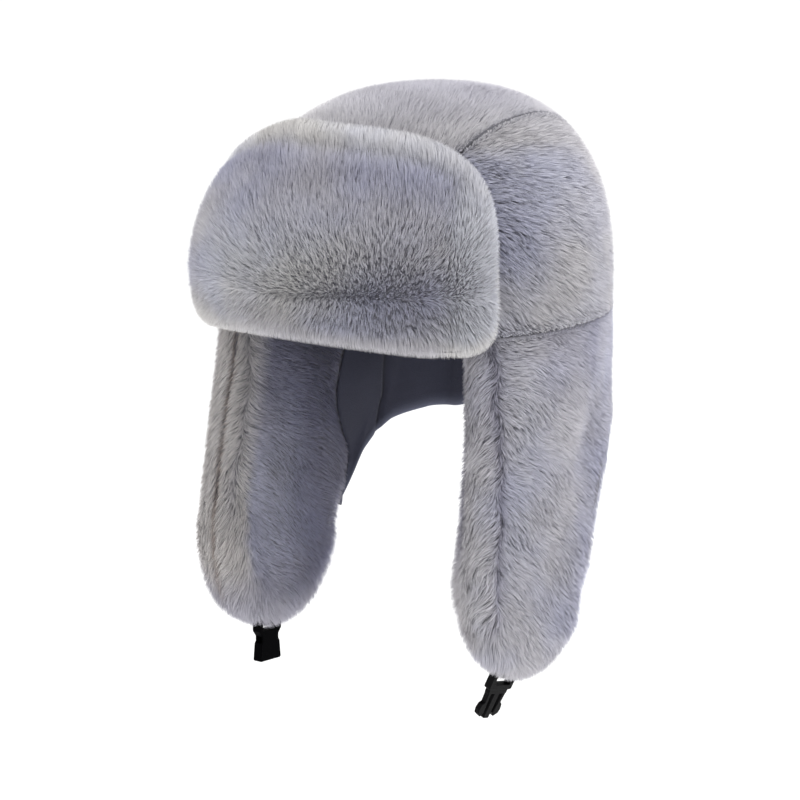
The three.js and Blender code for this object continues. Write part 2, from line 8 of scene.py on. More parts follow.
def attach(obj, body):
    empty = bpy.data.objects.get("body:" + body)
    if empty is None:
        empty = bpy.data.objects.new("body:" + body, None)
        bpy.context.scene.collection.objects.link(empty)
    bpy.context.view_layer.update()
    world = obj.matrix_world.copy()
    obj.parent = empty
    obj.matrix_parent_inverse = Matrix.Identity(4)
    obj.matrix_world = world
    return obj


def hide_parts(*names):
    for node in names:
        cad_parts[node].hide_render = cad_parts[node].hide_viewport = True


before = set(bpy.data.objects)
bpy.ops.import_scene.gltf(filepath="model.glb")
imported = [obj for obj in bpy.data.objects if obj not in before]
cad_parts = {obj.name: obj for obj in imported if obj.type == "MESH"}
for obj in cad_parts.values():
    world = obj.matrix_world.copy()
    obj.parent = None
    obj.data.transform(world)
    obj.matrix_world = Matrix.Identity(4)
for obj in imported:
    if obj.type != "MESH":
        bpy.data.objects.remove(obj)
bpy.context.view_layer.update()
millimetre = 0.001  # in metres
tiny = 1e-9  # keeps a division from failing


def mix(low, high, share):
    return low + (high - low) * share


def smooth(value, low, high):
    share = np.clip((value - low) / (high - low), 0, 1)
    return share * share * (3 - 2 * share)


def unit(vectors):
    return vectors / np.maximum(np.linalg.norm(vectors, axis=-1, keepdims=True), tiny)


def table(columns, *rows):  # a row of values becomes a dictionary with the columns' names
    return [dict(zip(columns.split(), row)) for row in rows]


def grid(first, second):
    return np.meshgrid(first, second, indexing="ij")


def eased(count):  # places from 0 to 1, close together at both ends
    return (1 - np.cos(pi * np.linspace(0, 1, count))) / 2


def edgeRound(away, radius):  # from 1 to 0 in a quarter circle towards a free edge
    inward = 1 - np.clip(away / radius, 0, 1)
    return np.sqrt(1 - inward * inward)


def bell(away, wide):  # 1 in the middle, fading out to both sides
    return np.exp(-(away / wide) ** 2)


def distance(first, second):
    return np.linalg.norm(first - second, axis=-1)


def turnOf(points):  # degrees from the front round to either side
    return np.degrees(np.arctan2(np.abs(points[..., 0]), -points[..., 1]))


def spotNear(place, turn, height):  # 1 at a place on the fur, fading out around it
    across = (turn - place["turn"]) / place["turnWide"]
    return np.exp(-across ** 2 - ((height - place["height"]) / place["heightWide"]) ** 2)


# Camera: the photograph's view
view = {"azimuth": 41, "elevation": 11.5, "distance": 2.5, "target": (0, -0.006, -0.053),
        "pixelsPerMetre": 1750, "sensor": 36, "imageSide": 800, "clipEnd": 100}


def placeCamera():
    turn, rise = radians(view["azimuth"]), radians(view["elevation"])
    back = Vector((sin(turn) * cos(rise), -cos(turn) * cos(rise), sin(rise)))
    data = bpy.data.cameras.new("camera")
    data.sensor_width = view["sensor"]
    data.lens = view["pixelsPerMetre"] * view["distance"] * view["sensor"] / view["imageSide"]
    data.clip_end = view["clipEnd"]
    camera = bpy.data.objects.new("camera", data)
    camera.location = Vector(view["target"]) + back * view["distance"]
    camera.rotation_euler = back.to_track_quat("Z", "Y").to_euler()
    bpy.context.scene.collection.objects.link(camera)
    bpy.context.scene.camera = camera


# Studio: pale floor far below the held-up hat, white surroundings, broad soft lights
studio = {"floorDrop": 0.62, "floorSide": 30, "paper": (0.97, 0.97, 0.97, 1), "world": 1.06,
          "lights": {
              "above": {"place": (0.3, 0.1, 2.0), "side": 1.6, "power": 26},
              "rightBehind": {"place": (1.6, 1.2, 0.7), "side": 1.2, "power": 10},
          }}


def buildStudio():
    scene = bpy.context.scene
    scene.view_settings.view_transform = "Standard"
    world = bpy.data.worlds.new("studio")
    world.use_nodes = True
    background = world.node_tree.nodes["Background"]
    background.inputs["Color"].default_value = (1, 1, 1, 1)
    background.inputs["Strength"].default_value = studio["world"]
    scene.world = world
    for name, light in studio["lights"].items():
        data = bpy.data.lights.new(name, "AREA")
        data.energy = light["power"]
        data.size = light["side"]
        lamp = bpy.data.objects.new(name, data)
        lamp.location = light["place"]
        lamp.rotation_euler = Vector(light["place"]).to_track_quat("Z", "Y").to_euler()
        scene.collection.objects.link(lamp)
    half = studio["floorSide"] / 2
    mesh = bpy.data.meshes.new("floor")
    corners = [(-half, -half, 0), (half, -half, 0), (half, half, 0), (-half, half, 0)]
    mesh.from_pydata(corners, [], [(0, 1, 2, 3)])
    floor = bpy.data.objects.new("floor", mesh)
    floor.location.z = -studio["floorDrop"]
    scene.collection.objects.link(floor)
    paper = Paint("paleFloor")
    paper.finish({"Base Color": studio["paper"], "Roughness": 0.9})
    mesh.materials.append(paper.material)


# Node materials
class Wire:  # a socket that can be reckoned with
    def __init__(self, paint, socket):
        self.paint = paint
        self.socket = socket

    def reckon(self, operation, first, second):
        return self.paint.add("Math", {"operation": operation}, {0: first, 1: second})

    def __add__(self, other):
        return self.reckon("ADD", self, other)

    __radd__ = __add__

    def __rsub__(self, other):
        return self.reckon("SUBTRACT", other, self)

    def __mul__(self, other):
        return self.reckon("MULTIPLY", self, other)

    def __pow__(self, other):
        return self.reckon("POWER", self, other)


class Paint:  # one material and the way its nodes are added
    def __init__(self, name):
        self.material = bpy.data.materials.new(name)
        self.material.use_nodes = True
        self.tree = self.material.node_tree
        self.shader = self.tree.nodes["Principled BSDF"]

    def put(self, socket, value):
        if isinstance(value, Wire):
            self.tree.links.new(value.socket, socket)
        else:
            socket.default_value = value

    def add(self, kind, settings, inputs, output=0):
        node = self.tree.nodes.new("ShaderNode" + kind)
        for name, value in settings.items():
            setattr(node, name, value)
        for name, value in inputs.items():
            self.put(node.inputs[name], value)
        return Wire(self, node.outputs[output])

    def blend(self, share, first, second, way="MIX"):
        first, second = [(*c, 1) if isinstance(c, tuple) and len(c) == 3 else c for c in (first, second)]
        inputs = {0: share, 6: first, 7: second}
        return self.add("Mix", {"data_type": "RGBA", "blend_type": way}, inputs, 2)

    def field(self, name):
        return self.add("Attribute", {"attribute_name": name}, {}, "Fac")

    def noise(self, scale, detail=2, rough=0.5):
        place = self.add("TexCoord", {}, {}, "Object")
        inputs = {"Vector": place, "Scale": scale, "Detail": detail, "Roughness": rough}
        return self.add("TexNoise", {}, inputs, "Fac")

    def finish(self, values, bump=None, strength=0.3):
        for name, value in values.items():
            self.put(self.shader.inputs[name], value)
        if bump is not None:
            inputs = {"Height": bump, "Strength": strength, "Distance": millimetre}
            self.put(self.shader.inputs["Normal"], self.add("Bump", {}, inputs))
        return self.material


fur = {"root": (0.15, 0.15, 0.20), "softRoot": (0.54, 0.54, 0.61), "cool": (0.655, 0.66, 0.745),
       "warm": (0.70, 0.685, 0.695), "brown": (0.40, 0.30, 0.255), "rootReach": 0.62, "patch": 16,
       "toneSwing": 0.2, "blueSwing": 0.4, "coolEnd": 0.38, "warmEnd": 0.66,
       "groundGrain": 900, "groundDark": (0.19, 0.188, 0.21), "groundLight": (0.28, 0.277, 0.305)}


def furPaint():
    paint = Paint("furStrands")
    along = paint.field("along")
    tone = paint.field("tone")
    patches = paint.noise(fur["patch"], 3)
    warmth = paint.add("MapRange", {}, {0: patches + paint.field("warmth"), 1: fur["coolEnd"],
                                        2: fur["warmEnd"], 3: 0.0, 4: 1.0})
    tip = paint.blend(warmth, fur["cool"], fur["warm"])
    tip = paint.blend(paint.field("brown"), tip, fur["brown"])
    root = paint.blend(paint.field("soft"), fur["root"], fur["softRoot"])
    shade = paint.blend(along ** fur["rootReach"], root, tip)
    # Painted light and shade on the fur: lighter above zero, darker below, with the darker bluer and the
    # lighter warmer
    pale = paint.field("pale")
    level = (1 - fur["toneSwing"] * 0.5 + tone * fur["toneSwing"]) * (1 + pale)
    grey = paint.add("CombineColor", {}, {0: level, 1: level, 2: level * (1 - pale * fur["blueSwing"])})
    shade = paint.blend(1.0, shade, grey, "MULTIPLY")
    return paint.finish({"Base Color": shade, "Roughness": 0.62, "Specular IOR Level": 0.22,
                         "Sheen Weight": 0.12, "Sheen Roughness": 0.5})


def underPaint():
    paint = Paint("furGround")
    fine = paint.noise(fur["groundGrain"], 3)
    shade = paint.blend(fine, fur["groundDark"], fur["groundLight"])
    return paint.finish({"Base Color": shade, "Roughness": 0.9}, bump=fine, strength=0.6)


# Closed forms on a grid: outer and inner faces are arrays of points, columns by rows
def closedForm(outer, inner, fields, ring=False):
    columns, rows = outer.shape[:2]
    count = columns * rows
    points = np.concatenate([outer.reshape(-1, 3), inner.reshape(-1, 3)])
    number = np.arange(count).reshape(columns, rows)
    a, b, c, d = number[:-1, :-1], number[1:, :-1], number[1:, 1:], number[:-1, 1:]
    quads = [np.stack([a, b, c, d], -1).reshape(-1, 4), np.stack([a, d, c, b], -1).reshape(-1, 4) + count]
    wallStart = 2 * len(quads[0])
    rims = [(number[:, 0], False), (number[:, -1], True)]
    if not ring:
        rims += [(number[0], True), (number[-1], False)]
    for line, flip in rims:
        wall = np.stack([line[:-1], line[:-1] + count, line[1:] + count, line[1:]], -1)
        quads.append(wall[:, ::-1] if flip else wall)
    quads = np.concatenate(quads)
    _, first, where = np.unique(np.round(points, 3), axis=0, return_index=True, return_inverse=True)
    where = where.reshape(-1)
    points = points[first]
    fields = {name: value.reshape(-1)[first] for name, value in fields.items()}
    quads = where[quads]
    faces = np.concatenate([quads[:, [0, 1, 2]], quads[:, [0, 2, 3]]])
    walls = np.tile(np.arange(len(quads)) >= wallStart, 2)
    real = (faces[:, 0] != faces[:, 1]) & (faces[:, 1] != faces[:, 2]) & (faces[:, 0] != faces[:, 2])
    faces, walls = faces[real], walls[real]
    corners = points[faces]
    volume = np.einsum("ij,ij->", corners[:, 0], np.cross(corners[:, 1], corners[:, 2]))
    if volume < 0:
        faces = faces[:, ::-1]
    return {"points": points, "faces": faces, "walls": walls, "fields": fields}


def mirrored(form, hand):  # the form as it stands on the left (1) or the right (-1)
    form["points"][:, 0] *= hand
    if hand < 0:
        form["faces"] = form["faces"][:, ::-1]
    return form


def faceCross(form):
    corners = form["points"][form["faces"]]
    return np.cross(corners[:, 1] - corners[:, 0], corners[:, 2] - corners[:, 0])


def pointNormals(form):
    wallWeight = 1e-4  # the narrow walls hardly turn the normals of the faces beside them
    cross = faceCross(form) * np.where(form["walls"], wallWeight, 1.0)[:, None]
    total = np.zeros_like(form["points"])
    for corner in range(3):
        np.add.at(total, form["faces"][:, corner], cross)
    return unit(total)


def makeObject(name, points, faces, fields, materials, slots, flats=None, tiles=None):
    mesh = bpy.data.meshes.new(name)
    mesh.vertices.add(len(points))
    mesh.vertices.foreach_set("co", (points * millimetre).astype(np.float32).ravel())
    mesh.loops.add(faces.size)
    mesh.loops.foreach_set("vertex_index", faces.astype(np.int32).ravel())
    mesh.polygons.add(len(faces))
    mesh.polygons.foreach_set("loop_start", np.arange(0, faces.size, 3, dtype=np.int32))
    mesh.polygons.foreach_set("material_index", slots.astype(np.int32))
    smoothFaces = np.ones(len(faces), bool) if flats is None else ~flats
    mesh.polygons.foreach_set("use_smooth", smoothFaces)
    mesh.update(calc_edges=True)
    for field, values in fields.items():
        mesh.attributes.new(field, "FLOAT", "POINT").data.foreach_set("value", values.astype(np.float32))
    if tiles is not None:
        layer = mesh.uv_layers.new(name="OFBake")
        layer.data.foreach_set("uv", tiles[faces.ravel()].astype(np.float32).ravel())
    for material in materials:
        mesh.materials.append(material)
    thing = bpy.data.objects.new(name, mesh)
    bpy.context.scene.collection.objects.link(thing)
    return thing


# Fur. The form's surface is where the tips end; each strand's root lies a pile's depth below.
pile = {"depth": 9.0, "width": 0.42, "widthSpread": (0.7, 1.3), "faceOut": 0.6, "bend": 0.16,
        "waver": 0.12, "uneven": 0.9, "guard": 0.03, "guardLength": 1.0, "waves": 6,
        "waveLength": (18, 42), "seamDepth": 0.18, "leastRise": 0.5, "lockTurn": 4, "ownShare": 0.25,
        "holdSpread": (0.6, 1.0), "holdMost": 1.3, "middleDroop": 0.5, "middleRise": 0.3,
        "tipDroop": 0.4, "lockTone": 0.22, "ownTone": 0.16, "quickPart": 6, "groundDepth": 0.97}
# The colour map: the ground below, and above it tiles for the strands of neighbouring locks
colourMap = {"columns": 128, "rows": 28, "ground": 0.125, "groundUsed": 0.9, "band": 6,
             "centre": (0.35, 0.65), "half": 0.3, "rise": (0.06, 0.5, 0.5, 0.94)}


def furFields(shape, depth, lean, **others):  # each is one value, or one for the outer and inner face
    fields = {"depth": depth, "lean": lean, "cover": 1.0, "rough": 1.0, "extra": 0.0,
              "warmth": 0.0, "brown": 0.0, "pale": 0.0, "soft": 0.0}
    fields.update(others)
    sides = {name: value if isinstance(value, tuple) else (value, value) for name, value in fields.items()}
    return {name: np.stack([np.broadcast_to(side, shape) for side in pair]) for name, pair in sides.items()}


def spread(form, count, rng, cover):
    cross = faceCross(form)
    weight = np.linalg.norm(cross, axis=1) * cover[form["faces"]].mean(axis=1) * ~form["walls"]
    steps = np.cumsum(weight) / weight.sum()
    picks = np.searchsorted(steps, (np.arange(count) + rng.random(count)) / count)
    picks = np.minimum(picks, len(weight) - 1)
    one, two = np.sqrt(rng.random(count)), rng.random(count)
    return form["faces"][picks], np.stack([1 - one, one * (1 - two), one * two], -1)


def growFur(name, form, settings, seed):
    rng = np.random.default_rng(seed)
    count = settings["strands"] // 1
    fields, normals = form["fields"], pointNormals(form)
    faces, shares = spread(form, count, rng, fields["cover"])

    def at(values):
        if values.ndim == 1:
            return (values[faces] * shares).sum(axis=1)
        return (values[faces] * shares[..., None]).sum(axis=1)

    spots, normal = at(form["points"]), unit(at(normals))
    growth = at(form["growth"])
    growth = unit(growth - normal * (growth * normal).sum(axis=1, keepdims=True))
    waves = unit(rng.normal(0, 1, (pile["waves"], 3)))
    waves *= 2 * pi / rng.uniform(*pile["waveLength"], (pile["waves"], 1))
    drift = np.sin(spots @ waves.T + rng.uniform(0, 2 * pi, pile["waves"])).sum(axis=1)
    growth = unit(growth + np.cross(normal, growth) * (settings["drift"] * drift)[:, None])
    way = unit(normal + growth * at(fields["lean"])[:, None])
    depth = at(fields["depth"]) / np.maximum((way * normal).sum(axis=1), pile["leastRise"])

    # Locks: each strand leans to the tip of the nearest lock
    locks = min(int(settings["locks"]), count)
    tree = kdtree.KDTree(locks)
    for k in range(locks):
        tree.insert(spots[k * count // locks], k)
    tree.balance()
    lock = np.array([tree.find(spot)[1] for spot in spots])
    lead = np.arange(locks) * count // locks
    lockTurn = rng.normal(0, pile["waver"], (locks, 3))
    lockRise = rng.normal(0, pile["uneven"] * 0.5, locks)
    rough, extra = at(fields["rough"]), at(fields["extra"])
    own = unit(way + (rng.normal(0, pile["waver"], (count, 3)) + lockTurn[lock]) * rough[:, None])
    rise = rng.normal(0, pile["uneven"] * 0.5, count) + lockRise[lock]
    rise -= np.abs(rng.normal(0, pile["uneven"], count))
    rise += np.where(rng.random(count) < pile["guard"], pile["guardLength"], 0)
    rise = rise * rough + extra
    roots = spots - way * depth[:, None]
    tips = roots + own * (depth + rise)[:, None]
    lockTips = spots[lead] + lockTurn * pile["lockTurn"] + way[lead] * (lockRise + extra[lead])[:, None]
    hold = settings["hold"] * rng.uniform(*pile["holdSpread"], count)
    hold = (hold * np.minimum(rough, pile["holdMost"]))[:, None]
    tips = mix(tips, lockTips[lock] + (tips - lockTips[lock]) * pile["ownShare"], hold)
    droop = growth * (depth * pile["bend"])[:, None]
    middles = roots + (tips - roots) * 0.5 - droop * pile["middleDroop"] + way * pile["middleRise"]
    tips = tips + droop * pile["tipDroop"]

    # Strands as narrow kites, each turned its own way
    side = np.cross(tips - roots, rng.normal(0, 1, (count, 3)) + normal * pile["faceOut"])
    side = unit(side) * (pile["width"] * 0.5 * rng.uniform(*pile["widthSpread"], count))[:, None]
    quad = np.stack([roots, middles - side, middles + side, tips], 1).reshape(-1, 3)
    base = np.arange(count)[:, None] * 4
    strandFaces = np.concatenate([base + [0, 1, 2], base + [1, 3, 2]])
    tone = 0.5 + rng.normal(0, pile["lockTone"], locks)[lock] + rng.normal(0, pile["ownTone"], count)

    def each(values):
        return np.repeat(values, 4)

    # Neighbouring locks share a tile of the colour map, with the strands' length upwards
    tileColumns, tileRows = colourMap["columns"], colourMap["rows"]
    angle = np.arctan2(spots[lead, 1], spots[lead, 0])
    order = np.lexsort((angle, spots[lead, 2] // colourMap["band"]))
    tile = np.empty(locks, int)
    tile[order] = np.arange(locks) * tileColumns * tileRows // locks
    tile = tile[lock]
    column, row = tile % tileColumns, tile // tileColumns
    wide, high = 1 / tileColumns, (1 - colourMap["ground"]) / tileRows
    left, low = column * wide, colourMap["ground"] + row * high
    centre = left + wide * rng.uniform(*colourMap["centre"], count)
    half = wide * colourMap["half"]
    across = np.stack([centre, centre - half, centre + half, centre], 1)
    up = low[:, None] + high * np.array(colourMap["rise"])
    strandTiles = np.stack([across, up], -1).reshape(-1, 2)

    ground = form["points"] - normals * fields["depth"][:, None] * pile["groundDepth"]
    span = np.ptp(ground, axis=0)
    groundTiles = (ground[:, [0, 2]] - ground[:, [0, 2]].min(axis=0)) / span[[0, 2]]
    groundTiles[:, 1] *= colourMap["ground"] * colourMap["groundUsed"]
    groundCount = len(ground)
    zero = np.zeros(groundCount)
    values = {"along": np.concatenate([zero, np.tile([0.0, 0.5, 0.5, 1.0], count)]),
              "tone": np.concatenate([zero, each(np.clip(tone, 0, 1))])}
    for key in ("warmth", "brown", "pale", "soft"):
        values[key] = np.concatenate([fields[key], each(at(fields[key]))])
    faces = np.concatenate([form["faces"], strandFaces + groundCount])
    strands = np.arange(len(faces)) >= len(form["faces"])
    thing = makeObject(name, np.concatenate([ground, quad]), faces, values, [groundPaint, strandPaint],
                       strands.astype(int), strands, np.concatenate([groundTiles, strandTiles]))
    print(f"{name}: {count} strands in {locks} locks, {len(faces)} triangles")
    return thing


def coverNode(thing, node):
    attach(thing, "root")
    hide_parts(node)


# Crown
crown = {"halfWidth": 109.5, "halfLength": 116.5, "height": 125.4, "boxy": 2.5, "shift": 6.5, "lean": 17.5}
crownInside = {"halfWidth": 82.8, "halfLength": 100.8, "height": 99.8, "boxy": 2.3, "shift": 0, "lean": 12}
leanPower = 1.5
crownFur = {"tipLevel": 1.6, "seamDip": 0.9, "seamWidth": 0.9, "seamWidthShare": 0.49, "taper": 0.16,
            "panelGap": 0.0025, "tuckDepth": 8, "tuckHeight": (82, 94), "tuckTurn": (53, 58),
            "tuckPile": 2.0, "tuckCover": 0.12, "lean": 0.42, "seamLean": -0.1, "seamUpright": 6,
            "soft": 0.68, "rough": 0.34,
            # Painted shade: the spot on the side beside the front flap is darker, cooler and rougher, and
            # the crest and the back are darker
            "flapShade": {"turn": 74, "turnWide": 18, "height": 52, "heightWide": 33, "pale": -0.12,
                       "rough": 0.35, "warmth": -0.2, "softLoss": 0.6},
            "high": {"fade": (88, 120), "warmth": 0.7},
            "crestShade": {"fade": (108, 126), "pale": -0.14},
            "back": {"fade": (95, 130), "pale": -0.05, "warmth": 0.2},
            "top": {"strands": 64000, "locks": 9000, "hold": 0.3, "drift": 0.14, "growth": (0, 1, -0.2)},
            "side": {"strands": 44000, "locks": 5600, "hold": 0.32, "drift": 0.14, "growth": (0, 0.45, -1)}}


def domeMiddle(dome, rise):
    return dome["shift"] + dome["lean"] * np.maximum(rise, 0) ** leanPower


def domePoint(dome, way, out=0.0):
    power = 2 / dome["boxy"]
    flat = np.maximum(np.hypot(way[..., 0], way[..., 1]), tiny)
    rise = np.maximum(way[..., 2], 0) ** power
    swell = flat ** power / flat
    across = (dome["halfWidth"] + out) * way[..., 0] * swell
    back = domeMiddle(dome, rise) + (dome["halfLength"] + out) * way[..., 1] * swell
    return np.stack([across, back, (dome["height"] + out) * rise], -1)


def sliceWay(across, along):  # unit vectors on the middle panel, from seam to seam and front to back
    lean = crownFur["taper"] * across
    size = np.hypot(1, lean)
    away = crownFur["seamWidthShare"] * across / size
    radius = np.sqrt(1 - away * away)
    forward = radius * np.cos(pi * along) / size
    side = lean * forward + away / size
    back = away * lean / size - forward
    return np.stack([side, back, radius * np.sin(pi * along)], -1)


def sideWay(along, down):  # unit vectors on a side panel, from its seam down to the rim
    seam = sliceWay(np.ones_like(along), along)
    front, back = sliceWay(np.ones(1), np.zeros(1))[0], sliceWay(np.ones(1), np.ones(1))[0]
    turn = mix(np.arctan2(front[0], -front[1]), np.arctan2(back[0], -back[1]), along)
    rim = np.stack([np.sin(turn), -np.cos(turn), np.zeros_like(turn)], -1)
    return unit(mix(seam, rim, down[..., None]))


def tuckAt(way):  # 1 where the front flap covers the crown
    height = crown["height"] * np.maximum(way[..., 2], 0) ** (2 / crown["boxy"])
    low = 1 - smooth(height, *crownFur["tuckHeight"])
    return low * (1 - smooth(turnOf(way), *crownFur["tuckTurn"]))


def crownPanel(way, seamWay, growth):
    points = domePoint(crown, way)
    fromSeam = np.minimum(distance(points, domePoint(crown, seamWay)), np.abs(points[..., 2]))
    tuck = tuckAt(way)
    dip = crownFur["seamDip"] * (1 - smooth(fromSeam, 0, crownFur["seamWidth"]))
    level = mix(crownFur["tipLevel"] - dip, -crownFur["tuckDepth"], tuck)
    outer = domePoint(crown, way, level)
    inner = domePoint(crownInside, way)
    upright = smooth(fromSeam, 0, crownFur["seamUpright"])
    depth = mix((pile["depth"] - dip) * mix(pile["seamDepth"], 1, upright), crownFur["tuckPile"], tuck)
    lean = mix(crownFur["seamLean"], crownFur["lean"], upright)
    flapShade, high, crestShade, back = [crownFur[key] for key in ("flapShade", "high", "crestShade", "back")]
    turn, height = turnOf(outer), outer[..., 2]
    beside = spotNear(flapShade, turn, height)
    behind = smooth(turn, *back["fade"])
    # Painted shade beside the front flap, on the crest and behind
    pale = flapShade["pale"] * beside + back["pale"] * behind + crestShade["pale"] * smooth(height, *crestShade["fade"])
    warmth = np.maximum(back["warmth"] * behind, high["warmth"] * smooth(height, *high["fade"]))
    fields = furFields(depth.shape, (depth, 0), lean, cover=(mix(1.0, crownFur["tuckCover"], tuck), 0),
                       pale=pale, warmth=flapShade["warmth"] * beside + warmth,
                       soft=crownFur["soft"] * (1 - flapShade["softLoss"] * beside),
                       rough=crownFur["rough"] + flapShade["rough"] * beside)
    form = closedForm(outer, inner, fields)
    form["growth"] = np.tile(growth, (len(form["points"]), 1))
    return form


def crownTop():
    columns, rows = 36, 96
    widest = 1 - crownFur["panelGap"]
    across, along = grid(widest * (2 * eased(columns) - 1), np.linspace(0, 1, rows))
    settings = crownFur["top"]
    form = crownPanel(sliceWay(across, along), sliceWay(np.sign(across), along), settings["growth"])
    coverNode(growFur("crownTopFur", form, settings, seed=11), "crown_top")


def crownSide(hand, node):
    columns, rows = 64, 36
    along, down = grid(np.linspace(0, 1, columns), mix(crownFur["panelGap"], 1, eased(rows)))
    settings = crownFur["side"]
    form = crownPanel(sideWay(along, down), sideWay(along, np.zeros_like(down)), settings["growth"])
    name = node.replace("crown_side_", "crownSideFur_")
    coverNode(growFur(name, mirrored(form, hand), settings, seed=12 + hand), node)


# Front flap, the brim
brim = {"reach": 66.5, "top": 112.5, "middle": 32, "hem": -2, "hemDrop": 18.5,
        "hemLift": 3.5, "liftFade": (0.5, 0.78), "topRound": 3.1, "hemRound": 4.9,
        "droop": 10, "droopFade": (0.2, 0.8), "outerHalf": 10.6, "innerHalf": 8.3, "edge": 16,
        "edgeFade": (0.3, 0.9), "innerDepth": 4.5, "edgeDepth": 0.8, "innerCover": 0.25,
        "even": 0.6, "inset": 0.02, "valleyIn": 15, "valleyWide": 3.5, "valleyDeep": 2.4,
        # Painted light and shade on the front flap: a lighter rim, brow and low corners, and a darker hem,
        # cores, upper part and rest
        "rimFade": (12, 19), "rimAtEnd": 0.5, "rimPale": 0.09, "rimWarmth": 0.08,
        "hemFade": (4, 16), "hemPale": -0.05, "hemCalm": 0.8,
        "lean": 0.42, "leanReach": 60, "leanMost": 1.2, "sway": 0.06,
        "core": {"turn": 43, "turnWide": 16, "height": 25, "heightWide": 13, "pale": -0.17,
                 "warmth": -0.2, "rimLoss": 0.8},
        "brow": {"turn": 8, "turnWide": 24, "height": 38, "heightWide": 22, "pale": 0.2},
        "soft": (0.74, 0.9), "softRim": 0.95, "rough": (0.46, 0.32), "roughCore": 0.8,
        "roughRim": 0.08, "restPale": -0.04,
        "awayFade": (-0.25, 0.6), "awayPale": -0.05, "upperFade": (58, 85), "upperPale": -0.12,
        "lowFade": (0, 45), "lowPale": 0.17, "lowWarmth": 0.35,
        "endFade": (60, 95), "endPale": 0.07, "endWarmth": -0.32,
        "fur": {"strands": 91000, "locks": 17000, "hold": 0.3, "drift": 0.1}}
brimRows = table("height halfWidth halfLength",
                 (-19, 107.5, 115), (12, 113.5, 122.5), (32, 113, 128),
                 (61, 108, 121.5), (83, 101, 103.5), (110, 90, 80))


def curveBetween(first, firstSlope, second, secondSlope, share):
    square, cube = share ** 2, share ** 3
    return (first * (2 * cube - 3 * square + 1) + firstSlope * (cube - 2 * square + share)
            + second * (3 * square - 2 * cube) + secondSlope * (cube - square))


def tableAt(rows, key, value, column):  # reads a column smoothly between the rows
    keys = np.array([row[key] for row in rows], float)
    values = np.array([row[column] for row in rows], float)
    last = len(rows) - 1
    k = np.clip(np.searchsorted(keys, value, side="right") - 1, 0, last - 1)
    gap = keys[k + 1] - keys[k]
    share = np.clip((value - keys[k]) / gap, 0, 1)

    def slope(n):
        low, high = np.maximum(n - 1, 0), np.minimum(n + 1, last)
        return (values[high] - values[low]) / (keys[high] - keys[low]) * gap

    return curveBetween(values[k], slope(k), values[k + 1], slope(k + 1), share)


def brimLimits(share):
    top = (1 - np.abs(share) ** brim["topRound"]) ** (1 / brim["topRound"])
    low = (1 - np.abs(share) ** brim["hemRound"]) ** (1 / brim["hemRound"])
    hem = brim["hem"] - brim["hemDrop"] * share * share
    hem += brim["hemLift"] * smooth(-share, *brim["liftFade"])
    highest = brim["top"] - brim["droop"] * smooth(-share, *brim["droopFade"])
    return mix(brim["middle"], highest, top), mix(brim["middle"], hem, low)


def brimMiddle(share, up):
    top, hem = brimLimits(share)
    height = mix(hem, top, up)
    turn = np.radians(brim["reach"] * share)
    wide = tableAt(brimRows, "height", height, "halfWidth")
    long = tableAt(brimRows, "height", height, "halfLength")
    middle = domeMiddle(crown, height / crown["height"])
    return np.stack([wide * np.sin(turn), middle - long * np.cos(turn), height], -1)


def normalOf(surface, first, second):
    step = 1e-3
    alongFirst = surface(first + step, second) - surface(first - step, second)
    alongSecond = surface(first, second + step) - surface(first, second - step)
    normal = unit(np.cross(alongFirst, alongSecond))
    spot = surface(first, second)
    outward = normal[..., 0] * spot[..., 0] + normal[..., 1] * spot[..., 1]
    return np.where(outward[..., None] < 0, -normal, normal)


def fromCore(points):  # the pile's way on the front flap, away from a line under its middle
    return points * (brim["sway"], 0, 1) - (0, 0, brim["core"]["height"])


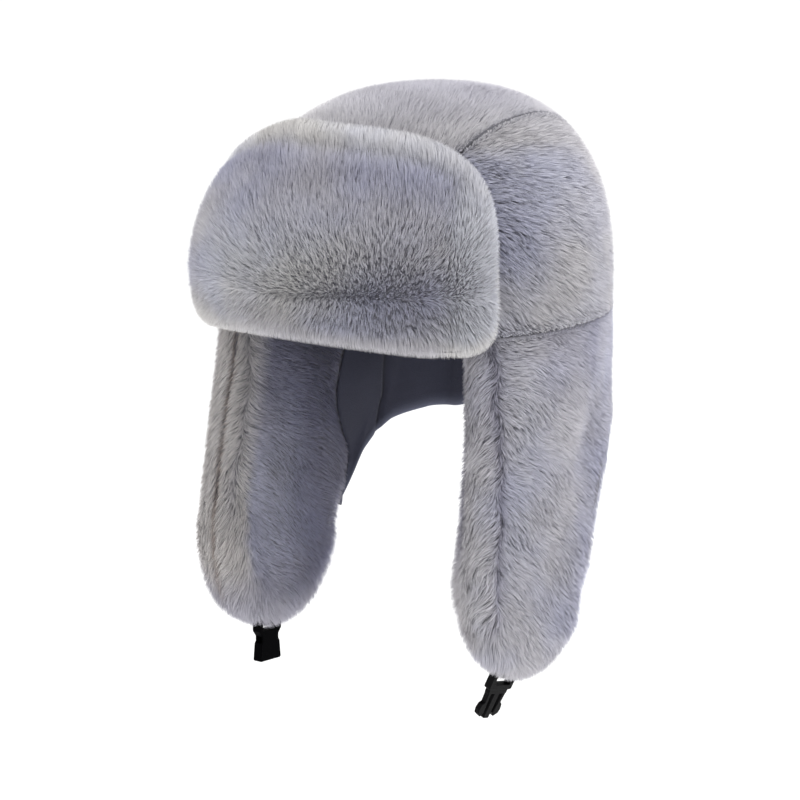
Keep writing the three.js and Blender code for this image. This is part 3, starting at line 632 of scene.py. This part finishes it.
def brimFur():
    columns, rows = 96, 40
    run, up = grid(np.linspace(-1, 1, columns), np.linspace(0, 1, rows))
    share = brim["even"] * run + (1 - brim["even"]) * np.sin(pi / 2 * run)
    top, hem = brimLimits(share)
    halfWidth = tableAt(brimRows, "height", brim["middle"], "halfWidth")
    fromEnd = (1 - np.abs(share)) * radians(brim["reach"]) * halfWidth
    fromTop, fromHem = (1 - up) * (top - hem), up * (top - hem)
    rounding = edgeRound(np.minimum(fromTop, fromHem), brim["edge"])
    rounding *= edgeRound(fromEnd, brim["edge"])
    inset = brim["inset"]
    spot = brimMiddle(share, up)
    normal = normalOf(brimMiddle, np.clip(share, inset - 1, 1 - inset), np.clip(up, inset, 1 - inset))
    fromRim = np.minimum(fromTop, fromEnd * brim["rimAtEnd"])
    valley = brim["valleyDeep"] * bell(fromRim - brim["valleyIn"], brim["valleyWide"])
    outer = spot + normal * (brim["outerHalf"] * rounding - valley)[..., None]
    inner = spot - normal * (brim["innerHalf"] * rounding)[..., None]
    edge = 1 - smooth(rounding, *brim["edgeFade"])
    rim = 1 - smooth(fromRim, *brim["rimFade"])
    hemRim = 1 - smooth(fromHem, *brim["hemFade"])
    core, brow = brim["core"], brim["brow"]
    turn, height = brim["reach"] * np.abs(share), spot[..., 2]
    dark = spotNear(core, turn, height) * (1 - core["rimLoss"] * rim)
    calm = np.maximum(rim, hemRim * brim["hemCalm"])
    away = smooth(-share, *brim["awayFade"])
    upper = smooth(height, *brim["upperFade"])
    low = away * (1 - smooth(height, *brim["lowFade"]))
    end = (1 - away) * (1 - smooth(height, *brim["endFade"])) * rim
    # Painted light and shade: lighter rim, brow, low corner and end, darker hem, cores, upper part and the
    # rest
    pale = brim["rimPale"] * rim + brim["hemPale"] * hemRim + core["pale"] * dark
    rest = brim["restPale"] + brim["awayPale"] * away + brim["upperPale"] * upper
    pale += (rest + brow["pale"] * spotNear(brow, turn, height)) * (1 - calm)
    pale = pale + brim["lowPale"] * low + brim["endPale"] * end
    warmth = brim["rimWarmth"] * rim + brim["endWarmth"] * end
    warmth += brim["lowWarmth"] * np.maximum(hemRim, low) + core["warmth"] * dark
    soft = mix(*brim["soft"], away) * (1 - dark)
    rough = mix(*brim["rough"], away) + brim["roughCore"] * dark
    soft, rough = mix(soft, brim["softRim"], calm), mix(rough, brim["roughRim"], calm)
    reach = np.linalg.norm(fromCore(outer), axis=-1) / brim["leanReach"]
    lean = brim["lean"] * np.minimum(reach, brim["leanMost"])
    innerDepth = mix(brim["innerDepth"], pile["depth"] * brim["edgeDepth"], edge)
    fields = furFields(up.shape, (pile["depth"], innerDepth), lean,
                       cover=(1, mix(brim["innerCover"], 1.0, edge)), warmth=warmth, pale=pale,
                       soft=soft, rough=rough)
    form = closedForm(outer, inner, fields)
    form["growth"] = fromCore(form["points"])
    coverNode(growFur("frontFlapFur", form, brim["fur"], seed=21), "front_flap")


# Ear flaps and neck band, hanging from one line
hangLine = {"halfWidth": 95.2, "halfLength": 109, "shift": 3, "flapFront": 61, "join": 112,
            "nape": 180, "bend": 0.4}
flapEdge = table("side back drop",
                 (91, -60.5, 136.5), (92, -57, 154), (94, -48, 179), (96, -36, 190), (94.5, -16, 197),
                 (93.5, 1.5, 193), (94, 16.5, 179.5), (95, 25.5, 154.5), (93, 36.5, 134))
neckEdge = table("side back drop",
                 (93, 36.5, 134), (87.5, 53.5, 101.5), (79, 70.5, 83), (63.5, 92, 76.5),
                 (44, 104.5, 75.5), (22, 109.5, 71), (0, 111, 70.5))
# The line where an ear flap meets the band runs forward and back again on its way down.
joinLine = table("down back",
                 (0, 0), (0.24, -1.5), (0.4, -6.5), (0.53, -8.5), (0.64, -4), (0.76, 3), (0.88, 2.5), (1, 0))
# The tone keys of the pad paint shade: darker near the top, behind the front edge and far from it
pad = {"flapOuter": 20, "flapInner": 17.5, "band": 13.2, "bandOuter": (15, 12.3),
       "bandFade": (10, 64), "edge": 26, "edgeBehind": 18, "behindFade": (0.45, 0.9), "bandEdge": 14,
       "bandHem": 0.35, "outerFull": 22, "innerFull": 40, "bow": 4, "levelAbove": 25,
       "liningWall": 2.6, "joinGap": 0.001, "gap": 0.3, "inset": 0.02,
       "seamDip": 1.6, "seamWidth": 1.1, "seamShade": -0.18, "seamLean": -0.1, "seamUpright": 6,
       "hemFur": {1: 3.8, -1: 5.2}, "hemFurReach": 34, "hemFurAtJoin": 0.5, "bandLift": 6,
       "joinReach": 55, "depth": 6.5, "softBack": 0.7, "roughBack": 0.3, "warmthBack": 0.08,
       "topFade": (15, 60), "topPale": -0.12, "paleBack": -0.09, "farFade": (60, 100), "paleFar": -0.06,
       "neckFade": (20, 90),
       "flapFur": {"strands": 78000, "locks": 8200, "hold": 0.3, "drift": 0.2},
       "neckFur": {"strands": 42000, "locks": 4800, "hold": 0.28, "drift": 0.2}}
# Lines down the front edge of a flap, at several drops: the height over the flap's middle of the
# seam in the edge, and where the pile parts: that far from the edge on the outer face, and where
# the inner face stands that much below the middle.
edgeLines = table("drop seam outerParting innerParting",
                  (0, 0, 10, 6), (40, 0.7, 10.5, 10.8), (62, 2.1, 12, 11), (83, 3, 17, 10.6),
                  (118, 4.5, 21.5, 6), (145, 4.6, 30, 3.6), (200, 4.6, 46, 3))
# Painted shade along the parting of the pile, stronger on the left flap
parting = {"wide": 3.5, "pale": {1: -0.3, -1: -0.1}, "warmth": 0.15, "rough": 0.45, "cover": 0.5,
           "outerTurn": 7, "innerTurn": 3, "hemReach": 28, "frontFade": (30, 60), "foreSweep": -1.6,
           "foreFade": (20, 50), "backSweep": (1.0, 0.25), "lowFade": (20, 130),
           "foreLean": 0.85, "backLean": 0.65}
# On the left flap (1) the seam lies further round on the inner side than on the right one (-1),
# where the pile at the front edge is also flatter, and paler by painted light.
edgeSeam = {"shift": {1: -9, -1: 0}, "brown": {1: 0.2, -1: 0.75}, "wide": 1.2, "deep": 1.8, "sunk": 0.8,
            "warmth": 0.4, "warmWide": 6, "topFade": (5, 20), "endFade": (33, 48), "leanLoss": 0.8}
# The front part of the outer face: paler with painted light on the right flap, with painted shade low on the
# right flap and broadly around the left flap's parting
frontPile = {"soft": {1: 0.3, -1: 0.7}, "rough": {1: 0.62, -1: 0.32}, "pale": {1: -0.02, -1: 0.08},
             "warmth": {1: 0.15, -1: 0.45}, "brown": {1: 0, -1: 0.12},
             "tipPale": {1: 0, -1: -0.14}, "tipFade": (150, 185), "shadePale": {1: -0.13, -1: 0},
             "shadeWide": 11, "calmFade": (20, 55), "edgeFade": (3, 10), "edgeSoft": 0.55,
             "edgeRough": 0.35}
# The inner face: painted shade, darker overall and towards the top, the back and the bottom, and along the
# roll behind the front edge
innerLook = {"pale": -0.15, "roll": 11, "rollWide": 9, "rollPale": -0.13,
             "topPale": -0.46, "topFade": (30, 105), "backPale": -0.42, "backFade": (0.42, 0.75),
             "lowPale": -0.2, "lowFade": (145, 180), "hemFar": 1.2, "fade": (7, 27),
             "soft": 0.85, "rough": 0.3, "depth": 5.5, "lean": 0.5}


def curveThrough(rows, share):  # a smooth curve through a table's points, read at share 0..1
    points = np.array([[row["side"], row["back"], -row["drop"]] for row in rows], float)
    points = np.concatenate([[2 * points[0] - points[1]], points, [2 * points[-1] - points[-2]]])
    place = np.clip(share, 0, 1) * (len(rows) - 1)
    k = np.minimum(place.astype(int), len(rows) - 2)
    part = (place - k)[..., None]
    p0, p1, p2, p3 = [points[k + n] for n in range(4)]
    d0, d1, d2 = [np.sqrt(distance(a, b))[..., None] for a, b in ((p0, p1), (p1, p2), (p2, p3))]
    start = ((p1 - p0) / d0 - (p2 - p0) / (d0 + d1) + (p2 - p1) / d1) * d1
    end = ((p2 - p1) / d1 - (p3 - p1) / (d1 + d2) + (p3 - p2) / d2) * d1
    return curveBetween(p1, start, p2, end, part)


def hangPoint(angle):
    turn = np.radians(angle)
    back = hangLine["shift"] - hangLine["halfLength"] * np.cos(turn)
    return np.stack([hangLine["halfWidth"] * np.sin(turn), back, np.zeros_like(turn)], -1)


def flapMiddle(share, down):
    top = hangPoint(mix(hangLine["flapFront"], hangLine["join"], share))
    middle = mix(top, curveThrough(flapEdge, share), down[..., None])
    middle[..., 0] += pad["bow"] * np.sin(pi * np.minimum(down, 1)) * (1 - share)
    middle[..., 1] += tableAt(joinLine, "down", down, "back") * smooth(share, hangLine["bend"], 1)
    return middle


def neckMiddle(share, down):
    part = 1 - np.abs(1 - share)
    top = hangPoint(mix(hangLine["join"], hangLine["nape"], part))
    middle = mix(top, curveThrough(neckEdge, part), down[..., None])
    middle[..., 1] += tableAt(joinLine, "down", down, "back") * (1 - smooth(part, 0, hangLine["bend"]))
    middle[..., 0] *= np.where(share > 1, -1, 1)
    return middle


def hangNormal(surface, share, down, spot):
    normal = normalOf(surface, share, np.minimum(down, 1 - pad["inset"]))
    normal[..., 2] *= smooth(-spot[..., 2], 0, pad["levelAbove"])
    return unit(normal)


def bandThick(drop):
    return mix(*pad["bandOuter"], smooth(drop, *pad["bandFade"]))


def bandRound(fromHem):
    return mix(pad["bandHem"], 1, edgeRound(fromHem, pad["bandEdge"]))


def seamLook(drop):  # below the seam with the crown: dip, painted shade and upright pile
    near = 1 - smooth(drop, 0, pad["seamWidth"])
    return pad["seamDip"] * near, pad["seamShade"] * near, smooth(drop, 0, pad["seamUpright"])


def backSweep(drop):  # how far the pile behind the parting turns backwards
    return mix(*parting["backSweep"], smooth(drop, *parting["lowFade"]))


def hangingFur(name, form, settings, seed):  # the pile hangs down, and sweeps forwards or backwards
    sweep = form["fields"]["sweep"]
    form["growth"] = np.stack([sweep * 0, sweep, sweep * 0 - 1], -1)
    return growFur(name, form, settings, seed)


def earFlap(hand, node):
    columns, rows = 48, 72
    share, down = grid(np.linspace(0, 1, columns) ** 2 * (1 - pad["joinGap"]), eased(rows))
    inset = pad["inset"]
    spot = flapMiddle(share, down)
    normal = hangNormal(flapMiddle, np.clip(share, inset, 1 - inset), down, spot)
    fromFront = distance(spot, flapMiddle(share * 0, down))
    fromHem = distance(spot, flapMiddle(share, down * 0 + 1))
    join = distance(spot, flapMiddle(share * 0 + 1, down))
    away = smooth(join, 0, pad["joinReach"])
    hemEdge = mix(pad["edge"], pad["edgeBehind"], smooth(share, *pad["behindFade"]))
    edges = edgeRound(fromFront, pad["edge"]) * mix(bandRound(fromHem), edgeRound(fromHem, hemEdge), away)
    drop = -spot[..., 2]
    full = smooth(drop, 0, pad["innerFull"])
    dip, seamShade, upright = seamLook(drop)
    outHigh = mix(bandThick(drop), pad["flapOuter"], smooth(drop, 0, pad["outerFull"]) * away) * edges
    inHigh = pad["band"] + (pad["flapInner"] - pad["band"]) * full * edgeRound(join, pad["edge"] / 2)
    inHigh *= edgeRound(fromFront, pad["edge"]) * edgeRound(fromHem, pad["edge"])

    # The seam in the front edge
    lines = {key: tableAt(edgeLines, "drop", drop, key) for key in ("seam", "outerParting", "innerParting")}
    fromSeam = np.stack([outHigh, -inHigh]) - lines["seam"] - edgeSeam["shift"][hand]
    onFront = smooth(drop, *edgeSeam["topFade"]) * (1 - smooth(fromFront, *edgeSeam["endFade"]))
    seam = bell(fromSeam, edgeSeam["wide"]) * onFront
    seamWarm = bell(fromSeam, edgeSeam["warmWide"]) * onFront
    outer = spot + normal * (outHigh - dip * edges)[..., None]
    inner = spot - normal * (inHigh - dip * edges)[..., None]
    outer[..., 1] += edgeSeam["deep"] * seam[0]
    inner[..., 1] += edgeSeam["deep"] * seam[1]

    # The parting of the pile, for the outer and the inner face
    ahead = np.stack([fromFront - lines["outerParting"], inHigh - lines["innerParting"]])
    turn = np.array([parting["outerTurn"], parting["innerTurn"]])[:, None, None]
    behind = (1 + np.tanh(ahead / turn)) / 2
    near = smooth(fromHem, 0, parting["hemReach"]) * (1 - smooth(fromFront, *parting["frontFade"]))
    partNear = bell(ahead, parting["wide"]) * near
    foreSweep = parting["foreSweep"] * (1 - smooth(fromFront, *parting["foreFade"]))
    sweep = mix(foreSweep, backSweep(drop), behind)
    calm = smooth(fromFront, *frontPile["calmFade"])
    facing = smooth(np.minimum(fromFront, fromHem * innerLook["hemFar"]), *innerLook["fade"])
    facing = np.stack([facing * 0, facing])
    # Painted shade on the inner face
    shade = 1 + innerLook["pale"]
    shade *= 1 + innerLook["topPale"] * (1 - smooth(drop, *innerLook["topFade"]))
    shade *= 1 + innerLook["backPale"] * smooth(share, *innerLook["backFade"])
    shade *= 1 + innerLook["lowPale"] * smooth(drop, *innerLook["lowFade"])
    dark = shade - 1 + innerLook["rollPale"] * bell(fromFront - innerLook["roll"], innerLook["rollWide"])
    keys = ("soft", "rough", "pale", "warmth")
    front = {key: mix(frontPile[key][hand], pad[key + "Back"], calm) for key in keys}
    # Painted light and shade on the outer face, and painted shade along the parting
    front["pale"] += pad["topPale"] * (1 - smooth(drop, *pad["topFade"])) * calm
    front["pale"] += pad["paleFar"] * smooth(fromFront, *pad["farFade"])
    front["pale"] += frontPile["tipPale"][hand] * smooth(drop, *frontPile["tipFade"])
    front["pale"] += frontPile["shadePale"][hand] * (bell(ahead[0], frontPile["shadeWide"]) * near)
    pale = mix(front["pale"], dark, facing) + parting["pale"][hand] * partNear + seamShade
    edge = 1 - smooth(fromFront, *frontPile["edgeFade"])
    soft = mix(mix(front["soft"], frontPile["edgeSoft"], edge), innerLook["soft"], facing) * (1 - partNear)
    rough = mix(mix(front["rough"], frontPile["edgeRough"], edge), innerLook["rough"], facing)
    backLean = mix(parting["backLean"], innerLook["lean"], facing)
    lean = mix(parting["foreLean"], backLean, behind) * (1 - edgeSeam["leanLoss"] * seam)
    lean = mix(pad["seamLean"], lean, upright)
    depth = (mix(pad["depth"], innerLook["depth"], facing) - dip) * mix(pile["seamDepth"], 1, upright)
    extra = pad["hemFur"][hand] * (1 - smooth(fromHem, 0, pad["hemFurReach"])) * full
    extra = extra * mix(pad["hemFurAtJoin"], 1, away) - edgeSeam["sunk"] * seam
    warmth = edgeSeam["warmth"] * seamWarm + parting["warmth"] * partNear
    warmth += front["warmth"] * (1 - facing)
    brown = seam * edgeSeam["brown"][hand] + (1 - facing) * (1 - calm) * frontPile["brown"][hand]
    looks = {"extra": extra, "brown": brown, "warmth": warmth, "pale": pale,
             "soft": soft, "rough": rough + parting["rough"] * partNear, "sweep": sweep,
             "cover": mix(1, parting["cover"], partNear)}
    looks = {key: (value[0], value[1]) for key, value in looks.items()}
    form = closedForm(outer, inner, furFields(share.shape, tuple(depth), tuple(lean), **looks))
    name = node.replace("ear_flap_", "earFlapFur_")
    thing = hangingFur(name, mirrored(form, hand), pad["flapFur"], 31 + hand)
    coverNode(thing, node)


def neckPlace(columns, rows):
    joinGap, inset = pad["joinGap"], pad["inset"]
    share, down = grid(np.linspace(joinGap, 2 - joinGap, columns), eased(rows))
    spot = neckMiddle(share, down)
    normal = hangNormal(neckMiddle, share, down, spot)
    normal[np.abs(share - 1) < inset] = (0, 1, 0)
    last = hangNormal(flapMiddle, share[:1] * 0 + 1 - inset, down[:1], spot[:1])
    normal[0] = last[0]
    normal[-1] = last[0] * (-1, 1, 1)
    return share, down, spot, normal


def neckBand():
    columns, rows = 112, 28
    share, down, spot, normal = neckPlace(columns, rows)
    low = distance(spot, neckMiddle(share, down * 0 + 1))
    join = distance(spot, neckMiddle(np.where(share > 1, 2.0, 0.0), down))
    away = smooth(join, 0, pad["edge"])
    drop = -spot[..., 2]
    dip, seamShade, upright = seamLook(drop)
    outer = spot + normal * ((bandThick(drop) - dip) * bandRound(low))[..., None]
    outer[..., 2] += pad["bandLift"] * (1 - smooth(low, 0, pad["bandEdge"])) * away
    inner = spot - normal * (pad["band"] - pad["liningWall"])
    lean = mix(pad["seamLean"], parting["backLean"], upright)
    depth = (pad["depth"] - dip) * mix(pile["seamDepth"], 1, upright)
    # Painted shade: darker below the seam with the crown and all over the band
    fields = furFields(share.shape, (depth, 1), lean, cover=(1, 0), soft=pad["softBack"],
                       rough=pad["roughBack"], pale=seamShade + pad["paleBack"] + pad["paleFar"],
                       warmth=pad["warmthBack"],
                       sweep=backSweep(drop) * (1 - smooth(join, *pad["neckFade"])))
    thing = hangingFur("neckBandFur", closedForm(outer, inner, fields), pad["neckFur"], 41)
    coverNode(thing, "neck_band")


# Lining
# The rim colour is a painted highlight towards the hem and the lower corners; the crease colour is painted
# shade in the seams and folds.
lining = {"dark": (0.0155, 0.0162, 0.029), "light": (0.048, 0.05, 0.082), "rim": (0.145, 0.155, 0.22),
          "creaseShade": (0.006, 0.006, 0.01), "fine": 1400, "patches": 28, "patchShare": 0.45,
          "seamDeep": 1.8, "seamWide": 2, "seamAt": 0.25, "foldDeep": 2.2, "foldWide": 6, "foldAt": 0.6,
          "hem": 5.5, "hemRise": 0.9, "wave": 0.7}
# The hem and corner shares below paint a highlight, the crease shares paint shade
crownCloth = {"creaseShade": 0.8, "creaseShadeWide": 0.7, "turnWaves": 7, "upWaves": 5, "hemFade": (3.5, 5.5),
              "hemPale": 0.3}
neckCloth = {"foldLoss": 0.4, "ridge": 0.7, "ridgeAt": 7, "ridgeWide": 5, "creaseShade": 0.85,
             "creaseShadeWide": 0.6, "foldShade": 0.25, "foldShadeWide": 4, "partWaves": 23, "downWaves": 2,
             "hemReach": 1.4, "hemPale": 0.75, "cornerPale": 0.5, "cornerFade": (0.04, 0.12),
             "cornerDrop": (105, 122)}
liningInside = {"halfWidth": 79, "halfLength": 97, "height": 96, "boxy": 2.3, "shift": 0, "lean": 12}
liningOutside = {**liningInside, "halfWidth": 81.6, "halfLength": 99.6, "height": 98.6}


def liningPaint():
    paint = Paint("plushLining")
    fine = paint.noise(lining["fine"], 3, 0.6)
    cloudy = fine * (1 - lining["patchShare"]) + paint.noise(lining["patches"]) * lining["patchShare"]
    shade = paint.blend(cloudy, lining["dark"], lining["light"])
    # Painted highlight towards the hem and lower corners, painted shade in the seams and folds
    shade = paint.blend(paint.field("pale"), shade, lining["rim"])
    shade = paint.blend(paint.field("creaseShade"), shade, lining["creaseShade"])
    cloth = {"Base Color": shade, "Roughness": 0.92, "Sheen Weight": 0.3, "Sheen Roughness": 0.4}
    return paint.finish(cloth, bump=fine, strength=0.5)


def liningCloth(name, outer, inner, looks, node, paint, ring):
    form = closedForm(outer, inner, {key: np.stack([value, value]) for key, value in looks.items()}, ring)
    faces = form["faces"]
    thing = makeObject(name, form["points"], faces, form["fields"], [paint], np.zeros(len(faces), int))
    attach(thing, "root")
    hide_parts(node)
    bothSides = np.linalg.norm(faceCross(form), axis=1).sum() / 2 * millimetre ** 2
    print(f"{name}: {len(faces)} triangles, {bothSides / 2:.4f} m2")


def crownLining(paint):
    columns, rows = 109, 26
    turn, up = grid(np.linspace(0, 2 * pi, columns), np.linspace(0, pi / 2, rows))
    flat = np.cos(up)
    way = np.stack([np.sin(turn) * flat, -np.cos(turn) * flat, np.sin(up)], -1)
    way[-1] = way[0]
    lean = way[..., 1] * crownFur["taper"]
    fromSeam = np.minimum(abs(way[..., 0] + lean - crownFur["seamWidthShare"]),
                          abs(way[..., 0] - lean + crownFur["seamWidthShare"])) * liningInside["halfWidth"]
    relief = lining["seamDeep"] * bell(fromSeam, lining["seamWide"])
    # Painted shade along the seams
    creaseShade = crownCloth["creaseShade"] * bell(fromSeam, lining["seamWide"] * crownCloth["creaseShadeWide"])
    waves = lining["wave"] * np.sin(turn * crownCloth["turnWaves"])
    relief += waves * np.sin(up * crownCloth["upWaves"]) * flat
    height = domePoint(liningInside, way)[..., 2]
    # Painted highlight towards the hem
    hem = 1 - smooth(height, *crownCloth["hemFade"])
    relief -= lining["hemRise"] * hem * edgeRound(height, lining["hem"])
    looks = {"pale": crownCloth["hemPale"] * hem, "creaseShade": creaseShade}
    liningCloth("crownLiningCloth", domePoint(liningOutside, way), domePoint(liningInside, way, relief),
                looks, "crown_lining", paint, True)


def neckLining(paint):
    columns, rows = 140, 24
    share, down, spot, normal = neckPlace(columns, rows)
    part = 1 - np.abs(1 - share)
    low = distance(spot, neckMiddle(share, down * 0 + 1))
    length = distance(spot[1:], spot[:-1]).sum(axis=0).max() / 2
    fromSeam, fromFold = (part - lining["seamAt"]) * length, (part - lining["foldAt"]) * length
    fold = lining["foldDeep"] * bell(fromFold, lining["foldWide"])
    relief = lining["seamDeep"] * bell(fromSeam, lining["seamWide"])
    relief += fold * (1 - down * neckCloth["foldLoss"])
    relief -= neckCloth["ridge"] * bell(fromSeam - neckCloth["ridgeAt"], neckCloth["ridgeWide"])
    # Painted shade along the seam and the fold
    creaseShade = neckCloth["creaseShade"] * bell(fromSeam, lining["seamWide"] * neckCloth["creaseShadeWide"])
    creaseShade += neckCloth["foldShade"] * bell(fromFold, neckCloth["foldShadeWide"]) * (1 - down)
    relief += lining["wave"] * np.sin(part * neckCloth["partWaves"] + down * neckCloth["downWaves"]) * down
    hem = 1 - smooth(low, 0, lining["hem"] * neckCloth["hemReach"])
    relief -= lining["hemRise"] * hem * edgeRound(low, lining["hem"])
    # Painted highlight towards the hem and at the lower corners
    corner = neckCloth["cornerPale"] * (1 - smooth(part, *neckCloth["cornerFade"]))
    corner *= smooth(-spot[..., 2], *neckCloth["cornerDrop"])
    depth = pad["band"] + pad["gap"]
    outer = spot - normal * (depth - pad["liningWall"])
    inner = spot - normal * (depth - relief)[..., None]
    looks = {"pale": np.maximum(neckCloth["hemPale"] * hem, corner), "creaseShade": creaseShade * (1 - hem)}
    liningCloth("neckLiningCloth", outer, inner, looks, "neck_lining", paint, False)


# Tabs and buckle, which keep the frame's meshes
webbing = {"weave": 1500, "dark": (0.004, 0.004, 0.005), "light": (0.015, 0.015, 0.016)}
# The socket's copy of the plastic reflects less than the plug's, as painted shade, so it shows darker
plastic = {"grain": 2200, "dark": (0.0005, 0.0005, 0.0008), "light": (0.002, 0.002, 0.0025),
           "rough": 0.42, "roughSwing": 0.15, "shineAndShade": {"plug": 0.07, "socket": 0.01}}


def webbingPaint():
    paint = Paint("webbing")
    weave = paint.noise(webbing["weave"])
    black = paint.blend(weave, webbing["dark"], webbing["light"])
    return paint.finish({"Base Color": black, "Roughness": 0.8, "Specular IOR Level": 0.1}, bump=weave)


def plasticPaint(half):
    paint = Paint("mouldedPlastic_" + half)
    grain = paint.noise(plastic["grain"])
    black = paint.blend(grain, plastic["dark"], plastic["light"])
    looks = {"Base Color": black, "Roughness": plastic["rough"] + grain * plastic["roughSwing"],
             "Specular IOR Level": plastic["shineAndShade"][half]}
    return paint.finish(looks, bump=grain, strength=0.15)


def paintNodes():
    cloth = webbingPaint()
    for node, material in (("tab_left", cloth), ("tab_right", cloth),
                           ("buckle_plug", plasticPaint("plug")), ("buckle_socket", plasticPaint("socket"))):
        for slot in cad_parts[node].material_slots:
            slot.material = material


placeCamera()
buildStudio()
print("studio ready")
groundPaint, strandPaint = underPaint(), furPaint()
crownTop()
crownSide(1, "crown_side_left")
crownSide(-1, "crown_side_right")
brimFur()
earFlap(1, "ear_flap_left")
earFlap(-1, "ear_flap_right")
neckBand()
plush = liningPaint()
crownLining(plush)
neckLining(plush)
paintNodes()
print("materials ready")
